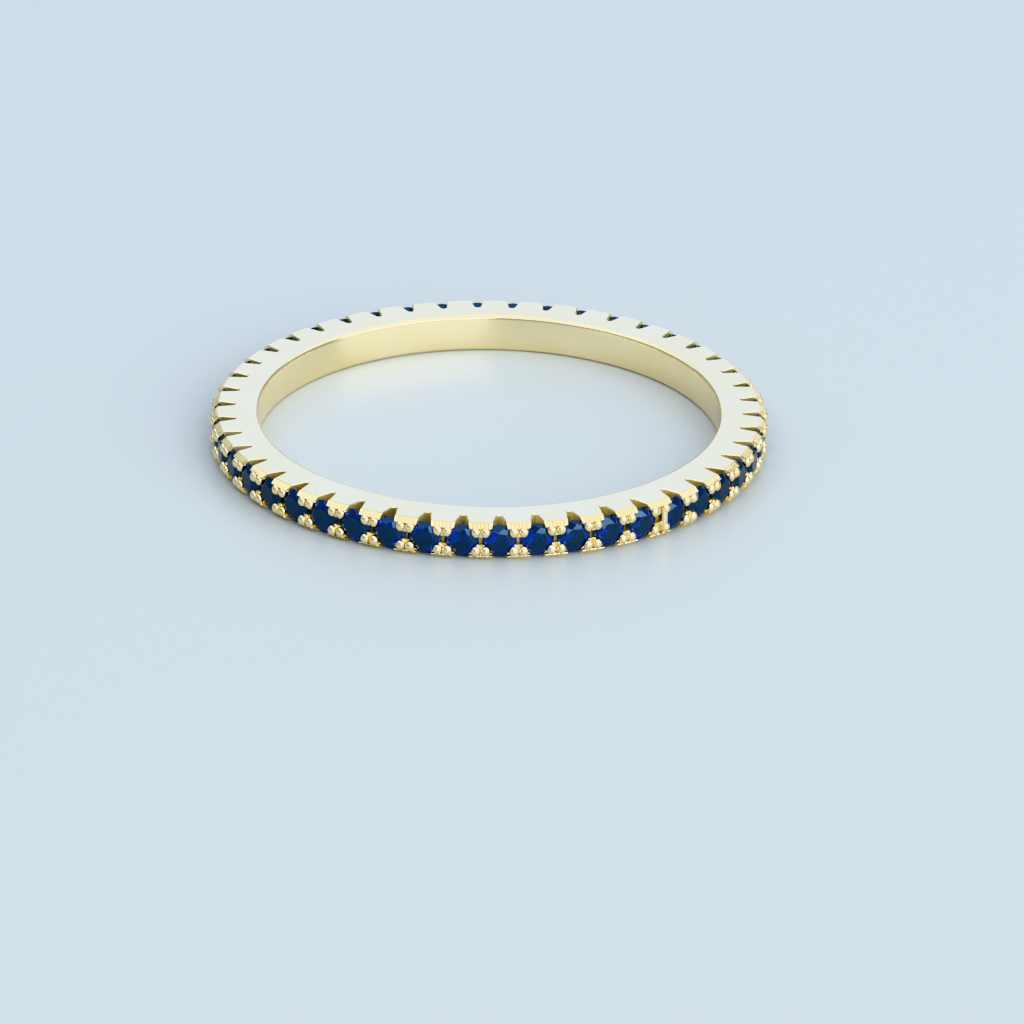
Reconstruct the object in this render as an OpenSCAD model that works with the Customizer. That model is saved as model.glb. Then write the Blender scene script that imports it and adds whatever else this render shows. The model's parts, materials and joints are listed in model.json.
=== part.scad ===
// Full eternity ring: one cast band in yellow gold, set all the way round with a single row of round blue
// stones. The ring lies on its side, so its axis is +Z and the middle of its lower side face is the origin.
// Sizes are in millimetres.

/* [Finger hole] */
// Inner diameter, 17.3 is US size 7
inner_d = 17.3; // [14:0.1:22]
// Metal between the finger and the floor of the notches under the stones
shank_t = 0.87; // [0.6:0.01:1.6]
// Radius on the two edges that touch the finger
comfort_r = 0.15; // [0.05:0.01:0.3]

/* [Stones] */
// Girdle diameter of each round stone
stone_d = 1.26; // [1:0.02:2]
// Least gap between the girdles of two neighbours
stone_gap = 0.12; // [0.11:0.01:0.3]
// Thickness of the girdle
girdle_t = 0.04; // [0.02:0.005:0.08]
// Angle of the main crown facets
crown_angle = 34; // [25:1:40]
// Angle of the main pavilion facets
pavilion_angle = 40.5; // [36:0.5:44]
// Width of the table, as a share of the girdle diameter
table_share = 0.57; // [0.45:0.01:0.7]
// Turn of each stone about its own axis, from one stone to the next
stone_turn = 137.5; // [0:0.5:180]

/* [Setting] */
// Metal beside the girdle, out to the flat side face
side_wall = 0.09; // [0.06:0.01:0.4]
// Space under the tip of a stone, down to the notch floor
culet_gap = 0.07; // [0.04:0.01:0.4]
// Clearance between a stone and the metal of its seat
seat_gap = 0.015; // [0.01:0.005:0.03]
// Height of the slope that rises from the side face to the prongs
shoulder_h = 0.22; // [0.1:0.01:0.4]
// Width of that slope, seen from the finger hole's axis
shoulder_w = 0.15; // [0.08:0.01:0.3]
// Height of the shelf that the prongs stand on, above the middle of the girdle
shelf_rise = 0.09; // [0.03:0.01:0.15]
// Width of the bar of metal between two stones, which lies below their girdles
bar_w = 0.3; // [0.1:0.02:0.7]
// Depth of that bar below the middle of the girdle
bar_drop = 0.05; // [0.02:0.01:0.15]

/* [Notches] */
// Radius of the round floor of a notch
notch_r = 0.17; // [0.08:0.01:0.25]
// Lean of a notch's two flanks in the side face
notch_flare = 5; // [1:1:15]
// Lean of the same flanks in the slope above it
mouth_flare = 20; // [5:1:40]

/* [Prongs] */
// Radius of the round tip of a prong
prong_r = 0.16; // [0.12:0.005:0.25]
// Height of a prong tip's centre above the middle of the girdle
prong_rise = 0.15; // [0.05:0.01:0.2]
// Distance of that centre outside the girdle
prong_set_back = 0.02; // [0:0.01:0.06]
// Gap between the two prongs of a post
prong_gap = 0.05; // [0.02:0.005:0.1]

/* [Closing post] */
// Extra width of the one post where the row of stones closes
closing_w = 0.13; // [0.04:0.01:0.5]
// Angle of that post round the ring, from the -Y side towards +X
closing_angle = 38.3; // [0:0.1:359]
// Radius of the round rib that fills its extra width
rib_r = 0.12; // [0.05:0.01:0.2]
// Height of the rib's middle above the middle of the girdle
rib_rise = 0.14; // [0.05:0.01:0.2]
// How far the rib leans over the edge of the stone that closes the row
rib_lean = 0.03; // [0:0.01:0.06]

/* [Hidden] */
$fn = 72;
over = 1; // how far a cutting tool runs past the metal
corners = 8; // main facets round a stone
lower_share = 0.25; // where the lower girdle facets end, as a share of the girdle radius
comfort_steps = 6; // flats across a rounded finger edge

stone_r = stone_d / 2;
table_r = stone_d * table_share / 2;
crown_h = (stone_r - table_r) * tan(crown_angle);
pavilion_h = stone_r * tan(pavilion_angle);
half_corner = 180 / corners;
table_z = girdle_t / 2 + crown_h;
tip_z = -girdle_t / 2 - pavilion_h;
star_r = (table_r + stone_r) / 2; // where the star facets end
star_z = girdle_t / 2 + crown_h * (stone_r - star_r * cos(half_corner)) / (stone_r - table_r);
lower_r = lower_share * stone_r;
lower_z = -girdle_t / 2 - pavilion_h * (1 - lower_r * cos(half_corner) / stone_r);

inner_r = inner_d / 2;
floor_r = inner_r + shank_t;
girdle_r = floor_r + culet_gap + pavilion_h + girdle_t / 2;
edge_r = girdle_r;
crest_r = edge_r + shoulder_h;
shelf_r = girdle_r + shelf_rise;
bar_r = girdle_r - bar_drop;
rib_leg = 1.6 * rib_r; // the wall under the rib is a little thinner than the rib
band_w = stone_d + 2 * side_wall;
mid_z = band_w / 2;

row = 2 * PI * girdle_r - closing_w;
count = floor(row / (stone_d + stone_gap));
pitch = row / count;
step_a = 360 * pitch / (2 * PI * girdle_r);
closing_a = 360 * closing_w / (2 * PI * girdle_r);

prong_t = (pitch - prong_gap) / 2 - prong_r;
prong_a = sqrt(pow(stone_r + prong_set_back, 2) - pow(prong_t, 2));

function stone_angle(i) = closing_angle - 90 + closing_a / 2 + (i + 0.5) * step_a;

// Puts a shape on the ring at angle a, with its own +Z pointing away from the finger and its own XY plane
// at radius r.
module at_ring(a, r) {
    rotate([0, 0, a]) translate([r, 0, mid_z]) rotate([0, 90, 0]) children();
}

// Half of the room that a stone takes up at any turn, from its tip, past the corners of its facets, to the
// middle of its table.
stone_outline = [
    [0, tip_z], [lower_r, lower_z], [stone_r, -girdle_t / 2], [stone_r, girdle_t / 2],
    [star_r, star_z], [table_r, table_z], [0, table_z]
];

// Which way the side from a to b faces.
function side_normal(a, b) = [b[1] - a[1], a[0] - b[0]] / norm(b - a);

// The same outline with a gap all round it, which the seat is cut to.
function seat_outline(gap) =
    let (
        path = concat([[-lower_r, lower_z]], stone_outline, [[-table_r, table_z]])
    ) [
        for (k = [1:len(stone_outline)])
            let (
                u = side_normal(path[k - 1], path[k]),
                v = side_normal(path[k], path[k + 1])
            ) path[k] + gap * (u + v) / (1 + u * v)
    ];

// The band before the stones' places are cut: flat sides, edges rounded where they meet the finger, a slope
// up to a crest on both sides, a shelf behind each crest and the low bar between the two shelves.
module blank() {
    arc = [for (k = [0:comfort_steps]) 90 * k / comfort_steps];
    rotate_extrude()
        polygon(concat(
            [for (a = arc) [inner_r + comfort_r * (1 - cos(a)), band_w - comfort_r * (1 - sin(a))]],
            [[edge_r, band_w], [crest_r, band_w - shoulder_w], [shelf_r, band_w - shoulder_w],
             [shelf_r, mid_z + bar_w / 2], [bar_r, mid_z + bar_w / 2], [bar_r, mid_z - bar_w / 2],
             [shelf_r, mid_z - bar_w / 2], [shelf_r, shoulder_w], [crest_r, shoulder_w], [edge_r, 0]],
            [for (a = arc) [inner_r + comfort_r * (1 - sin(a)), comfort_r * (1 - cos(a))]]));
}

// Four round prong tips that lean over the edge of one stone.
module prongs() {
    for (side = [-1, 1], end = [-1, 1])
        translate([end * prong_a, side * prong_t, prong_rise]) sphere(prong_r);
}

// Outline of a notch across the band: a round floor, and two flanks that lean apart, most of all in the
// slope.
module notch_outline() {
    foot_x = notch_r * cos(notch_flare);
    foot_y = -notch_r * sin(notch_flare);
    edge_y = edge_r - floor_r - notch_r;
    edge_x = foot_x + (edge_y - foot_y) * tan(notch_flare);
    mouth_h = 2 * shoulder_h;
    mouth_x = edge_x + mouth_h * tan(mouth_flare);
    union() {
        circle(notch_r);
        polygon([
            [-foot_x, foot_y], [foot_x, foot_y], [edge_x, edge_y], [mouth_x, edge_y + mouth_h],
            [-mouth_x, edge_y + mouth_h], [-edge_x, edge_y]
        ]);
    }
}

module notch() {
    translate([0, 0, floor_r + notch_r - girdle_r])
        rotate([90, 0, 90]) linear_extrude(band_w + 2 * over, center = true) notch_outline();
}

module seat() {
    rotate_extrude() polygon(seat_outline(seat_gap));
}

// A round-topped rib across the closing post, against the stone that closes the row.
module closing_rib() {
    foot = rib_rise + bar_drop + rib_r;
    translate([0, closing_w / 2 + rib_lean, rib_rise])
        rotate([90, 0, 90]) linear_extrude(2 * prong_a, center = true) {
            circle(rib_r);
            translate([-rib_leg / 2, -foot]) square([rib_leg, foot]);
        }
}

module band() {
    color("khaki")
        difference() {
            union() {
                blank();
                for (i = [0:count - 1]) at_ring(stone_angle(i), girdle_r) prongs();
                at_ring(closing_angle - 90, girdle_r) closing_rib();
            }
            for (i = [0:count - 1]) at_ring(stone_angle(i), girdle_r) seat();
            for (i = [0:count - 1]) at_ring(stone_angle(i), girdle_r) notch();
        }
}

// A round brilliant cut: a table with 8 star, 8 kite and 16 upper girdle facets round it, the girdle, and 16
// lower girdle and 8 main facets below it.
module brilliant() {
    ring_points = function (r, z, n, first) [for (k = [0:n - 1])
        [r * cos(first + 360 * k / n), r * sin(first + 360 * k / n), z]];
    points = concat(
        ring_points(table_r, table_z, corners, 0),
        ring_points(star_r, star_z, corners, half_corner),
        ring_points(stone_r, girdle_t / 2, 2 * corners, 0),
        ring_points(stone_r, -girdle_t / 2, 2 * corners, 0),
        ring_points(lower_r, lower_z, corners, half_corner),
        [[0, 0, tip_z]]);
    table = function (k) k % corners;
    star = function (k) corners + (k + corners) % corners;
    upper = function (k) 2 * corners + (k + 2 * corners) % (2 * corners);
    lower = function (k) 4 * corners + (k + 2 * corners) % (2 * corners);
    deep = function (k) 6 * corners + (k + corners) % corners;
    tip = 7 * corners;
    faces = concat(
        [[for (k = [corners - 1:-1:0]) table(k)]],
        [for (k = [0:corners - 1]) [table(k), table(k + 1), star(k)]],
        [for (k = [0:corners - 1]) [table(k), star(k), upper(2 * k), star(k - 1)]],
        [for (k = [0:corners - 1]) each [
            [star(k), upper(2 * k + 1), upper(2 * k)],
            [star(k), upper(2 * k + 2), upper(2 * k + 1)]]],
        [for (k = [0:2 * corners - 1]) [upper(k), upper(k + 1), lower(k + 1), lower(k)]],
        [for (k = [0:corners - 1]) each [
            [deep(k), lower(2 * k), lower(2 * k + 1)],
            [deep(k), lower(2 * k + 1), lower(2 * k + 2)]]],
        [for (k = [0:corners - 1]) [tip, deep(k - 1), lower(2 * k), deep(k)]]);
    polyhedron(points, faces);
}

module stones() {
    color("midnightblue")
        for (i = [0:count - 1])
            at_ring(stone_angle(i), girdle_r) rotate([0, 0, i * stone_turn]) brilliant();
}

band();
stones();
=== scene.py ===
# A full eternity ring lying on its side: one cast band of yellow gold, set all the way round with one
# row of round blue stones. Lengths are in millimetres while a mesh is made, and a finished mesh is
# scaled to metres.
import json
import math

import bmesh
import bpy
from mathutils import Matrix, Quaternion, Vector, noise


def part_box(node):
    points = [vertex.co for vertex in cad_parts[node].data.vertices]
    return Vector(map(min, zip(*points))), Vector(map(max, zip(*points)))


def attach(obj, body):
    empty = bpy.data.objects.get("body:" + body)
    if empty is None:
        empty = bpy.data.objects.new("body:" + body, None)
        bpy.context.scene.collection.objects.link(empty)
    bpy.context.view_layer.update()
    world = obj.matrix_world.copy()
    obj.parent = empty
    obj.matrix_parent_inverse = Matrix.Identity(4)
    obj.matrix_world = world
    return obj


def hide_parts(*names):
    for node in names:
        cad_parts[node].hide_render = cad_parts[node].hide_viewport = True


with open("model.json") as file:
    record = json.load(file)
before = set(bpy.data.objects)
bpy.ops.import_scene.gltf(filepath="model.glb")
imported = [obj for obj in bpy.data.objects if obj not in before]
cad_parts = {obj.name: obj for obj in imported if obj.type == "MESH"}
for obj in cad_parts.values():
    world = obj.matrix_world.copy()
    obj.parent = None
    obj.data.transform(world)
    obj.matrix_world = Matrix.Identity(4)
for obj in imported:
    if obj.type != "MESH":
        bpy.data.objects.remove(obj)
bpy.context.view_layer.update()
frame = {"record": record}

# Camera: a long lens a little above the ring and almost straight in front of it, as the ring was
# photographed. The ring sits slightly left of the middle of the picture and above it.
lens_mm = 363.8
sensor_mm = 36
distance = 0.3884
clip_near = 0.01
clip_far = 10
elevation = math.radians(24.36)
aside = Matrix.Rotation(math.radians(0.3), 3, "Z")
roll = math.radians(0.74)
ring_left = 0.905e-3
ring_above = 2.545e-3
camera = bpy.data.objects.new("camera", bpy.data.cameras.new("camera"))
bpy.context.scene.collection.objects.link(camera)
camera.data.lens = lens_mm
camera.data.sensor_width = sensor_mm
camera.data.clip_start = clip_near
camera.data.clip_end = clip_far
backwards = Vector((0, -math.cos(elevation), math.sin(elevation)))
upwards = Vector((0, math.sin(elevation), math.cos(elevation)))
camera.location = aside @ (distance * backwards)
aim = aside @ (Vector((ring_left, 0, 0)) - ring_above * upwards)
camera.rotation_mode = "QUATERNION"
level = (aim - camera.location).to_track_quat("-Z", "Y")
camera.rotation_quaternion = level @ Quaternion((0, 0, 1), roll)
bpy.context.scene.camera = camera

# Table top: a plain pale honed slab, cool white, that the ring lies on. It is wide enough to fill the
# picture from every side, and smooth enough to hold a faint reflection of the gold.
floor_size = 4
floor_white = (0.485, 0.51, 0.515, 1)
floor_roughness = 0.38
floor_gloss = 0.3
bm = bmesh.new()
bmesh.ops.create_grid(bm, x_segments=1, y_segments=1, size=floor_size / 2)
slab = bpy.data.objects.new("table_top", bpy.data.meshes.new("table_top"))
bm.to_mesh(slab.data)
bm.free()
bpy.context.scene.collection.objects.link(slab)
honed = bpy.data.materials.new("pale_stone_top")
honed.use_nodes = True
shader = honed.node_tree.nodes["Principled BSDF"]
shader.inputs["Base Color"].default_value = floor_white
shader.inputs["Roughness"].default_value = floor_roughness
shader.inputs["Specular IOR Level"].default_value = floor_gloss
slab.data.materials.append(honed)

# Light: a pale room with three soft lights. A wide window stands to the right of the camera, one broad
# panel hangs overhead, and a low cool one behind the ring shows in its flat side face.
room_light = (0.80, 0.90, 1.0, 1)
room_strength = 0.5
panels = [
    # name, place in metres, width and height, watts, colour
    ("window", (0.47, -0.56, 0.325), (1.2, 0.5), 7.2, (0.94, 0.98, 1.0)),
    ("overhead_panel", (0, 0, 0.8), (1.8, 1.8), 12.2, (0.90, 0.96, 1.0)),
    ("back_panel", (0, 0.83, 0.37), (0.9, 0.5), 1.45, (0.47, 0.61, 1.0)),
]
bpy.context.scene.view_settings.view_transform = "Khronos PBR Neutral"
world = bpy.data.worlds.new("pale_room")
bpy.context.scene.world = world
world.use_nodes = True
world.node_tree.nodes["Background"].inputs["Color"].default_value = room_light
world.node_tree.nodes["Background"].inputs["Strength"].default_value = room_strength
for name, spot, size, watts, colour in panels:
    panel = bpy.data.objects.new(name, bpy.data.lights.new(name, "AREA"))
    bpy.context.scene.collection.objects.link(panel)
    panel.data.shape = "RECTANGLE"
    panel.data.size, panel.data.size_y = size
    panel.data.energy = watts
    panel.data.color = colour
    panel.location = spot
    panel.rotation_mode = "QUATERNION"
    panel.rotation_quaternion = (-Vector(spot)).to_track_quat("-Z", "Y")

# Band: one casting in yellow gold, polished wherever the wheel reaches. The file cuts are brighter
# yellow and less smooth, and low between the stones the dull skin of the casting is left, its gold
# painted darker as shade.
polished_tones = ((0.97, 0.81, 0.47, 1), (1.0, 0.86, 0.55, 1))
polished_roughness = (0.08, 0.18)
cut_tones = ((0.98, 0.80, 0.40, 1), (1.0, 0.85, 0.48, 1))
cut_roughness = (0.38, 0.52)
# Painted shade: these cast tones are far darker than the gold itself and stand in for the shade on the
# low bar between the stones; only the rougher finish is the real cast skin.
painted_shade_cast_tones = ((0.62, 0.50, 0.20, 1), (0.74, 0.60, 0.27, 1))
cast_roughness = (0.45, 0.6)
cloud_scale = 420
cloud_range = (0.35, 0.65)
wheel_scale = 5200
wheel_depth = 2e-6
wheel_waver = 2.5
wheel_strength = 0.25


def gold_finish(name, tones, roughness):
    """Gold whose tone and polish vary softly, with faint lines of the polishing wheel round the ring."""
    gold = bpy.data.materials.new(name)
    gold.use_nodes = True
    nodes, links = gold.node_tree.nodes, gold.node_tree.links
    shader = nodes["Principled BSDF"]
    shader.inputs["Metallic"].default_value = 1
    place = nodes.new("ShaderNodeTexCoord")
    cloud = nodes.new("ShaderNodeTexNoise")
    cloud.inputs["Scale"].default_value = cloud_scale
    cloud.inputs["Detail"].default_value = 3
    alloy = nodes.new("ShaderNodeValToRGB")
    polish = nodes.new("ShaderNodeMapRange")
    for end, bound in enumerate(("Min", "Max")):
        alloy.color_ramp.elements[end].position = cloud_range[end]
        alloy.color_ramp.elements[end].color = tones[end]
        polish.inputs["From " + bound].default_value = cloud_range[end]
        polish.inputs["To " + bound].default_value = roughness[end]
    wheel = nodes.new("ShaderNodeTexWave")
    wheel.wave_type = "RINGS"
    wheel.rings_direction = "Z"
    wheel.inputs["Scale"].default_value = wheel_scale
    wheel.inputs["Distortion"].default_value = wheel_waver
    wheel.inputs["Detail"].default_value = 2
    lines = nodes.new("ShaderNodeBump")
    lines.inputs["Strength"].default_value = wheel_strength
    lines.inputs["Distance"].default_value = wheel_depth
    links.new(place.outputs["Object"], cloud.inputs["Vector"])
    links.new(place.outputs["Object"], wheel.inputs["Vector"])
    links.new(cloud.outputs["Fac"], alloy.inputs["Fac"])
    links.new(alloy.outputs["Color"], shader.inputs["Base Color"])
    links.new(cloud.outputs["Fac"], polish.inputs["Value"])
    links.new(polish.outputs["Result"], shader.inputs["Roughness"])
    links.new(wheel.outputs["Fac"], lines.inputs["Height"])
    links.new(lines.outputs["Normal"], shader.inputs["Normal"])
    return gold


polished = gold_finish("polished_yellow_gold", polished_tones, polished_roughness)
as_cut = gold_finish("cut_yellow_gold", cut_tones, cut_roughness)
as_cast_painted_shade = gold_finish("cast_gold_painted_shade", painted_shade_cast_tones, cast_roughness)

# Its blank is turned: flat sides, edges rounded where they meet the finger, a slope round each side up
# to a crest, a shelf behind the crest and a low bar along the middle. The pattern of the setting
# repeats in each quarter of a stone's place, so one quarter is worked and the rest are its mirror
# images.
mm_per_m = 1000
hole = next(m for m in frame["record"]["mounts"] if m["name"] == "finger_hole")
inner_r = hole["dims"]["r_mm"]
band_w = mm_per_m * (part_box("band")[1].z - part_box("band")[0].z)
half_w = band_w / 2
comfort_r = 0.15
comfort_steps = 4
shank_t = 0.87
slope_h = 0.22
slope_w = 0.15
lip = 0.02
crest_round = 0.012
shelf_rise = 0.09
bar_w = 0.3
bar_drop = 0.12
bar_round = 0.02

stone_d = 1.26
stone_gap = 0.12
girdle_t = 0.04
crown_angle = math.radians(34)
pavilion_angle = math.radians(40.5)
table_share = 0.57
lower_share = 0.25
main_facets = 8
culet_gap = 0.07
closing_w = 0.13
closing_angle = math.radians(38.3 - 90)

stone_r = stone_d / 2
table_r = table_share * stone_r
crown_h = (stone_r - table_r) * math.tan(crown_angle)
pavilion_h = stone_r * math.tan(pavilion_angle)
half_facet = math.pi / main_facets
table_h = girdle_t / 2 + crown_h
tip_h = -girdle_t / 2 - pavilion_h
star_r = (table_r + stone_r) / 2
star_h = girdle_t / 2 + crown_h * (stone_r - star_r * math.cos(half_facet)) / (stone_r - table_r)
deep_r = lower_share * stone_r
deep_h = -girdle_t / 2 - pavilion_h * (1 - deep_r * math.cos(half_facet) / stone_r)
floor_r = inner_r + shank_t
girdle_r = floor_r + culet_gap + pavilion_h + girdle_t / 2
row = 2 * math.pi * girdle_r - closing_w
count = math.floor(row / (stone_d + stone_gap))
pitch = row / count
step_a = pitch / girdle_r
half_a = step_a / 2
closing_a = closing_w / girdle_r
crest_r = girdle_r + slope_h
shelf_r = girdle_r + shelf_rise
bar_r = girdle_r - bar_drop


def tool_from(bm, name, *finishes):
    """Makes an object of a closed bmesh, facing outwards."""
    bmesh.ops.recalc_face_normals(bm, faces=bm.faces)
    mesh = bpy.data.meshes.new(name)
    bm.to_mesh(mesh)
    bm.free()
    for finish in finishes:
        mesh.materials.append(finish)
    tool = bpy.data.objects.new(name, mesh)
    bpy.context.scene.collection.objects.link(tool)
    return tool


def put_in_order(mesh):
    """Sorts the corners and faces of a worked mesh by place, so that every run gives the same mesh."""

    def place_of(v):
        return tuple(v.co)

    loose = bmesh.new()
    loose.from_mesh(mesh)
    bm = bmesh.new()
    twin = {v: bm.verts.new(v.co) for v in sorted(loose.verts, key=place_of)}
    outlines = []
    for f in loose.faces:
        corners = list(f.verts)
        first = corners.index(min(corners, key=place_of))
        outlines.append((corners[first:] + corners[:first], f.material_index))
    outlines.sort(key=lambda outline: [place_of(v) for v in outline[0]])
    for corners, finish in outlines:
        bm.faces.new([twin[v] for v in corners]).material_index = finish
    bm.to_mesh(mesh)
    bm.free()
    loose.free()


def worked(blank, tool, operation):
    """Adds the tool's shape to the blank, or cuts it away, and throws the tool away."""
    cut = blank.modifiers.new(operation, "BOOLEAN")
    cut.operation = operation
    cut.solver = "EXACT"
    cut.material_mode = "TRANSFER"
    cut.object = tool
    shape = bpy.data.meshes.new_from_object(blank.evaluated_get(bpy.context.evaluated_depsgraph_get()))
    blank.modifiers.remove(cut)
    put_in_order(shape)
    blank.data = shape
    bpy.data.objects.remove(tool)


# The blank runs past the planes of symmetry, so that the quarter can be trimmed clean at the end.
past = 0.2
columns = 4
column_a = half_a / columns
section = [(inner_r, -past), (inner_r, half_w - comfort_r)]
for k in range(1, comfort_steps):
    a = math.pi / 2 * k / comfort_steps
    section.append((inner_r + comfort_r * (1 - math.cos(a)), half_w - comfort_r * (1 - math.sin(a))))
section += [
    (inner_r + comfort_r, half_w),
    (girdle_r, half_w),
    (girdle_r, half_w - lip),
    (girdle_r + lip, half_w - lip),
    (crest_r - crest_round, half_w - slope_w + crest_round / 2),
    (crest_r, half_w - slope_w - crest_round / 2),
    (crest_r - crest_round, half_w - slope_w - 2 * crest_round),
    (shelf_r, half_w - slope_w - 5 * crest_round),
    (shelf_r, bar_w / 2),
    (bar_r, bar_w / 2 - bar_round),
    (bar_r, -past),
]
bm = bmesh.new()
ring = [bm.verts.new((r, 0, h)) for r, h in section]
outline = [bm.edges.new((ring[k - 1], ring[k])) for k in range(len(ring))]
bmesh.ops.rotate(bm, verts=ring, cent=(0, 0, 0), matrix=Matrix.Rotation(-column_a, 3, "Z"))
bmesh.ops.spin(
    bm,
    geom=ring + outline,
    cent=(0, 0, 0),
    axis=(0, 0, 1),
    angle=column_a * (columns + 2),
    steps=columns + 2,
)
bmesh.ops.holes_fill(bm, edges=[e for e in bm.edges if e.is_boundary], sides=0)
lip_reach = 1.05 * lip
for f in bm.faces:
    middle = f.calc_center_median()
    f.material_index = middle.z > half_w - lip_reach and middle.xy.length > girdle_r - lip / 2
band = tool_from(bm, "set_band", polished, as_cut, as_cast_painted_shade)

# Fine lines are cut down the slope with a graver, which leaves a row of small bright cells along each
# post.
lines_per_stone = 10
first_line = 3
line_side = 0.03
line_gap = 0.012
line_l = 0.3
slope_along = Vector((slope_h, 0, -slope_w)).normalized()
line_mid = Vector((girdle_r + lip, 0, half_w - lip)) + (line_gap + line_l / 2) * slope_along
along_slope = Matrix.Rotation(math.atan2(slope_w, slope_h), 3, "Y")
on_edge = along_slope @ Matrix.Rotation(math.pi / 4, 3, "X")
bm = bmesh.new()
for k in range(first_line, lines_per_stone // 2 + 1):
    line = bmesh.ops.create_cube(bm, size=1)["verts"]
    bmesh.ops.scale(bm, verts=line, vec=(line_l, line_side, line_side))
    bmesh.ops.rotate(bm, verts=line, cent=(0, 0, 0), matrix=on_edge)
    bmesh.ops.translate(bm, verts=line, vec=line_mid)
    turn = Matrix.Rotation(k * step_a / lines_per_stone, 3, "Z")
    bmesh.ops.rotate(bm, verts=line, cent=(0, 0, 0), matrix=turn)
worked(band, tool_from(bm, "graver", as_cut), "DIFFERENCE")

# A notch is filed across the band under each stone, with a round floor, flanks that lean apart and a
# bright chamfered rim.
notch_r = 0.105
notch_lean = math.radians(14)
notch_rim = 0.03
notch_steps = 12
notch_mid = Vector((floor_r + notch_r, 0, -1.5 * past))
foot = Vector((-math.sin(notch_lean), math.cos(notch_lean), 0)) * notch_r
flank = Vector((math.cos(notch_lean), math.sin(notch_lean), 0)) * 2 * (crest_r - floor_r)
bm = bmesh.new()
start = bm.verts.new(notch_mid + foot)
bmesh.ops.spin(
    bm, geom=[start], cent=notch_mid, axis=(0, 0, 1), angle=math.pi - 2 * notch_lean, steps=notch_steps
)
rounded = sorted(bm.verts, key=lambda v: -v.co.y)
mouth = [bm.verts.new(notch_mid + (foot + flank) * Vector((1, side, 1))) for side in (-1, 1)]
sole = bm.faces.new(rounded + mouth)
lifted = bmesh.ops.extrude_face_region(bm, geom=[sole])["geom"]
sole = next(g for g in lifted if isinstance(g, bmesh.types.BMFace))
bmesh.ops.translate(bm, verts=sole.verts, vec=(0, 0, half_w - notch_rim - notch_mid.z))
lifted = bmesh.ops.extrude_face_region(bm, geom=[sole])["geom"]
bmesh.ops.delete(bm, geom=[sole], context="FACES_ONLY")
sole = next(g for g in lifted if isinstance(g, bmesh.types.BMFace))
wider = 1 + 2 * notch_rim / notch_r
bmesh.ops.scale(bm, verts=sole.verts, vec=(wider, wider, 1), space=Matrix.Translation(-notch_mid))
bmesh.ops.translate(bm, verts=sole.verts, vec=(0, 0, 2 * notch_rim))
for f in bm.faces:
    f.material_index = f.calc_center_median().z > half_w - notch_rim
worked(band, tool_from(bm, "notch_file", as_cut, polished), "DIFFERENCE")

# A prong ends in a round tip that leans over the edge of the stone, tucked under the crest. It almost
# touches the other tip of its post, and its foot runs down towards the bar.
prong_r = 0.178
prong_flat = 0.82
prong_rise = 0.163
prong_set_back = 0.02
prong_stretch = 1.2
prong_inset = 0.172
prong_sides = 24
prong_rings = 14
prong_t = pitch / 2 - prong_inset
prong_a = math.sqrt((stone_r + prong_set_back) ** 2 - prong_t**2)
bm = bmesh.new()
bmesh.ops.create_uvsphere(bm, u_segments=prong_sides, v_segments=prong_rings, radius=prong_r)
bmesh.ops.rotate(bm, verts=bm.verts, matrix=Matrix.Rotation(math.pi / 2, 3, "Y"))
bmesh.ops.scale(bm, verts=[v for v in bm.verts if v.co.z < 0], vec=(1, 1, prong_stretch))
bmesh.ops.scale(bm, verts=[v for v in bm.verts if v.co.x > 0], vec=(prong_flat, 1, 1))
bmesh.ops.translate(bm, verts=bm.verts, vec=(girdle_r + prong_rise, prong_t, prong_a))
worked(band, tool_from(bm, "prong", polished), "UNION")

# The seat is cut with a bur as wide as a stone at any turn, so metal is left over a stone's edge only
# in the prong tips.
bur_weld = 1e-4
seat_gap = 0.012
seat_steps = 48
stone_outline = [
    (0, tip_h),
    (deep_r, deep_h),
    (stone_r, -girdle_t / 2),
    (stone_r, girdle_t / 2),
    (star_r, star_h),
    (table_r, table_h),
    (0, table_h),
]


def seat_bur(angle):
    """A bur a little larger than a stone all round, in the place of the stone at that angle."""
    bm = bmesh.new()
    line = [bm.verts.new((girdle_r + h, r, 0)) for r, h in stone_outline]
    edges = [bm.edges.new(pair) for pair in zip(line, line[1:])]
    bmesh.ops.spin(
        bm,
        geom=line + edges,
        cent=(girdle_r, 0, 0),
        axis=(1, 0, 0),
        angle=2 * math.pi,
        steps=seat_steps,
        use_merge=True,
    )
    bmesh.ops.remove_doubles(bm, verts=bm.verts, dist=bur_weld)
    bmesh.ops.recalc_face_normals(bm, faces=bm.faces)
    bm.normal_update()
    for v in bm.verts:
        v.co += seat_gap * v.calc_shell_factor() * v.normal
    bmesh.ops.rotate(bm, verts=bm.verts, cent=(0, 0, 0), matrix=Matrix.Rotation(angle, 3, "Z"))
    return tool_from(bm, "bur", polished)


worked(band, seat_bur(0), "DIFFERENCE")

# The worked quarter is trimmed to its three planes of symmetry, mirrored to a whole place and copied
# round the ring. Where the row closes, the middle of the post is drawn out across the extra width.
weld = 5e-4
bm = bmesh.new()
bm.from_mesh(band.data)
bmesh.ops.remove_doubles(bm, verts=bm.verts, dist=weld)
post_side = Vector((-math.sin(half_a), math.cos(half_a), 0))
for outwards in (Vector((0, -1, 0)), post_side, Vector((0, 0, -1))):
    bmesh.ops.bisect_plane(
        bm,
        geom=bm.verts[:] + bm.edges[:] + bm.faces[:],
        dist=weld / 10,
        plane_co=(0, 0, 0),
        plane_no=outwards,
        clear_outer=True,
    )
bmesh.ops.dissolve_degenerate(bm, edges=bm.edges, dist=weld)
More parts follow.
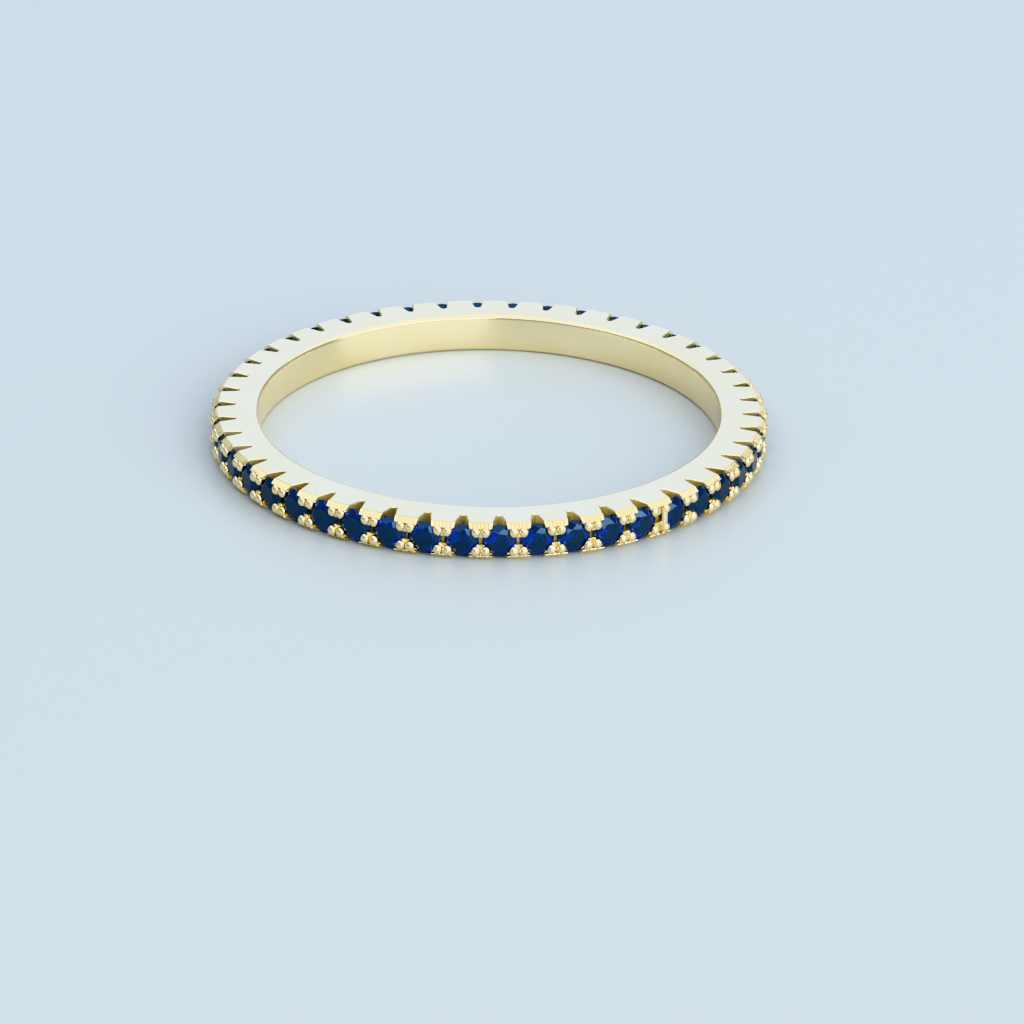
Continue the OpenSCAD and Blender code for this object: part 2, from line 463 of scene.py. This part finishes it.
# The low bar between the stones takes the cast finish: rough, and painted darker as shade.
cast_shade_slot = band.data.materials.find(as_cast_painted_shade.name)
for f in bm.faces:
    middle = f.calc_center_median()
    on_bar = girdle_r - pavilion_h < middle.xy.length < shelf_r - bar_round
    if on_bar and middle.z < bar_w / 2 + bar_round:
        f.material_index = cast_shade_slot
for axis in "ZY":
    bmesh.ops.mirror(bm, geom=bm.verts[:] + bm.edges[:] + bm.faces[:], axis=axis, merge_dist=weld)
whole_place = bm.verts[:] + bm.edges[:] + bm.faces[:]
first_a = closing_angle + (closing_a + step_a) / 2
for k in range(count):
    copy = bmesh.ops.duplicate(bm, geom=whole_place)["geom"]
    moved = [g for g in copy if isinstance(g, bmesh.types.BMVert)]
    turn = Matrix.Rotation(first_a + k * step_a, 3, "Z")
    bmesh.ops.rotate(bm, verts=moved, cent=(0, 0, 0), matrix=turn)
pattern = [g for g in whole_place if isinstance(g, bmesh.types.BMVert)]
bmesh.ops.delete(bm, geom=pattern, context="VERTS")
bmesh.ops.remove_doubles(bm, verts=bm.verts, dist=weld)
first_rim = [
    e
    for e in bm.edges
    if e.is_boundary and all(math.atan2(v.co.y, v.co.x) > closing_angle for v in e.verts)
]
bmesh.ops.spin(
    bm,
    geom=first_rim + list(dict.fromkeys(v for e in first_rim for v in e.verts)),
    cent=(0, 0, 0),
    axis=(0, 0, 1),
    angle=-closing_a,
    steps=1,
)
bmesh.ops.remove_doubles(bm, verts=bm.verts, dist=weld)

# The faces of the closing post come in any order, so the whole ring is put in order once more.
bm.to_mesh(band.data)
bm.free()
put_in_order(band.data)
bm = bmesh.new()
bm.from_mesh(band.data)

# Each tip was pushed over its stone by hand, so no two prongs are quite alike. The seed gives the same
# hand work in every run.
hand_work = 0.01
hand_scale = 2.3
hand_seed = 1
noise.seed_set(hand_seed)
for v in bm.verts:
    share = min(max((v.co.xy.length - shelf_r) / shelf_rise, 0), 1)
    v.co += share * hand_work * noise.noise_vector(v.co * hand_scale)
bmesh.ops.triangulate(bm, faces=[f for f in bm.faces if len(f.verts) > 4])
bmesh.ops.recalc_face_normals(bm, faces=bm.faces)
bm.to_mesh(band.data)
bm.free()
edge_angle = math.radians(25)


def put_on_table(piece):
    """Scales a finished piece of gold to metres at its height, and lets it stand for the band."""
    piece.data.transform(Matrix.Scale(1 / mm_per_m, 4) @ Matrix.Translation((0, 0, half_w)))
    piece.data.shade_smooth()
    piece.data.set_sharp_from_angle(angle=edge_angle)
    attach(piece, "root")
    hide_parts("band")


put_on_table(band)

# Closing rib: a round-topped rib of the same polished gold, soldered into the extra width of the
# closing post against the stone beside it.
rib_r = 0.15
rib_rise = 0.13
rib_lean = 0.12
rib_round = 0.9 * rib_r
rib_steps = 6
rib_end = 0.1
rib_root = 0.03
rib_l = 2 * (half_w - slope_w - rib_end)
rib_foot = bar_r - rib_root
rib_top = girdle_r + rib_rise + rib_r
bm = bmesh.new()
bmesh.ops.create_cube(bm, size=1)
bmesh.ops.scale(bm, verts=bm.verts, vec=(rib_top - rib_foot, 2 * rib_r, rib_l))
bmesh.ops.translate(bm, verts=bm.verts, vec=((rib_top + rib_foot) / 2, closing_w / 2 + rib_lean, 0))
bmesh.ops.bevel(
    bm,
    geom=[e for e in bm.edges if all(v.co.x > girdle_r for v in e.verts)],
    offset=rib_round,
    segments=rib_steps,
    profile=0.5,
    affect="EDGES",
    material=-1,
)
bmesh.ops.rotate(bm, verts=bm.verts, cent=(0, 0, 0), matrix=Matrix.Rotation(closing_angle, 3, "Z"))
rib = tool_from(bm, "closing_rib", polished)
worked(rib, seat_bur(first_a), "DIFFERENCE")
put_on_table(rib)

# Stones: deep blue, cut as round brilliants. Each is ground from a round blank, facet by facet, and
# sits in its seat at a turn and a slight tilt of its own, as a setter leaves it.
girdle_sides = 64
stone_turn = math.radians(137.5)
tilt = math.radians(1)
on_facet = 1e-5
# Angles in radians that go on from stone to stone, so that no two neighbours tilt alike.
axis_steps = (7.1, 11.3)
tilt_step = 3.7


def on_stone(r, angle, height):
    """A point on a stone that lies flat, by distance from its axis, angle and height."""
    return Vector((r * math.cos(angle), r * math.sin(angle), height))


def ground(bm, a, b, c):
    """Grinds a flat facet through three points and closes the cut."""
    outwards = (b - a).cross(c - a).normalized()
    if outwards.dot(a + b + c) < 0:
        outwards.negate()
    cut = bmesh.ops.bisect_plane(
        bm,
        geom=bm.verts[:] + bm.edges[:] + bm.faces[:],
        dist=on_facet,
        plane_co=a,
        plane_no=outwards,
        clear_outer=True,
    )["geom_cut"]
    rim = [g for g in cut if isinstance(g, bmesh.types.BMEdge) and g.is_boundary]
    bmesh.ops.holes_fill(bm, edges=rim, sides=0)


blank_h = 2 * (pavilion_h + girdle_t)
bm = bmesh.new()
bmesh.ops.create_cone(
    bm,
    cap_ends=True,
    segments=girdle_sides,
    radius1=stone_r,
    radius2=stone_r,
    depth=blank_h,
)
tip = Vector((0, 0, tip_h))
ground(bm, *[on_stone(table_r, 2 * k * half_facet, table_h) for k in range(3)])
for k in range(main_facets):
    main = 2 * k * half_facet
    between = main + half_facet
    beyond = between + half_facet
    across = on_stone(stone_r, main + math.pi / 2, 0)
    table_corner = on_stone(table_r, main, table_h)
    for edge_h, middle in ((girdle_t / 2, table_corner), (-girdle_t / 2, tip)):
        edge_point = on_stone(stone_r, main, edge_h)
        ground(bm, edge_point, edge_point + across, middle)
    star = on_stone(star_r, between, star_h)
    deep = on_stone(deep_r, between, deep_h)
    ground(bm, table_corner, on_stone(table_r, beyond, table_h), star)
    for corner in (main, beyond):
        for edge_h, inner in ((girdle_t / 2, star), (-girdle_t / 2, deep)):
            edge_point = on_stone(stone_r, between, edge_h)
            ground(bm, edge_point, on_stone(stone_r, corner, edge_h), inner)
brilliant = bm.verts[:] + bm.edges[:] + bm.faces[:]
for k in range(count):
    copy = bmesh.ops.duplicate(bm, geom=brilliant)["geom"]
    tilt_axis = Vector((math.sin(axis_steps[0] * k), math.cos(axis_steps[1] * k), 0))
    seat = (
        Matrix.Rotation(first_a + k * step_a, 4, "Z")
        @ Matrix.Translation((girdle_r, 0, half_w))
        @ Matrix.Rotation(math.pi / 2, 4, "Y")
        @ Matrix.Rotation(tilt * math.sin(tilt_step * k), 4, tilt_axis)
        @ Matrix.Rotation(stone_turn * k, 4, "Z")
    )
    moved = [g for g in copy if isinstance(g, bmesh.types.BMVert)]
    bmesh.ops.transform(bm, matrix=seat, verts=moved)
pattern = [g for g in brilliant if isinstance(g, bmesh.types.BMVert)]
bmesh.ops.delete(bm, geom=pattern, context="VERTS")
bmesh.ops.scale(bm, verts=bm.verts, vec=[1 / mm_per_m] * 3)
stones = bpy.data.objects.new("blue_stones", bpy.data.meshes.new("blue_stones"))
bm.to_mesh(stones.data)
bm.free()
bpy.context.scene.collection.objects.link(stones)

# Their blue is deep enough to look navy at a glance, and shows its colour only where light comes back
# out.
zone_tones = ((0.004, 0.045, 0.25, 1), (0.008, 0.09, 0.45, 1))
zone_range = (0.35, 0.65)
zone_scale = 460
body_tone = (0.03, 0.14, 0.66, 1)
body_density = 2000
stone_roughness = 0.01
stone_ior = 1.77
stone_gloss = 0.33
stone_glint = (0.42, 0.70, 1.0, 1)
stone_clear = 0.96
blue = bpy.data.materials.new("deep_blue_stone")
blue.use_nodes = True
nodes, links = blue.node_tree.nodes, blue.node_tree.links
shader = nodes["Principled BSDF"]
shader.inputs["Roughness"].default_value = stone_roughness
shader.inputs["IOR"].default_value = stone_ior
shader.inputs["Specular IOR Level"].default_value = stone_gloss
shader.inputs["Specular Tint"].default_value = stone_glint
shader.inputs["Transmission Weight"].default_value = stone_clear
place = nodes.new("ShaderNodeTexCoord")
zones = nodes.new("ShaderNodeTexNoise")
zones.inputs["Scale"].default_value = zone_scale
zones.inputs["Detail"].default_value = 1
tone = nodes.new("ShaderNodeValToRGB")
for end in (0, 1):
    tone.color_ramp.elements[end].position = zone_range[end]
    tone.color_ramp.elements[end].color = zone_tones[end]
links.new(place.outputs["Object"], zones.inputs["Vector"])
links.new(zones.outputs["Fac"], tone.inputs["Fac"])
links.new(tone.outputs["Color"], shader.inputs["Base Color"])
body = nodes.new("ShaderNodeVolumeAbsorption")
body.inputs["Color"].default_value = body_tone
body.inputs["Density"].default_value = body_density
links.new(body.outputs["Volume"], nodes["Material Output"].inputs["Volume"])
stones.data.materials.append(blue)
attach(stones, "root")
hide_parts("stones")
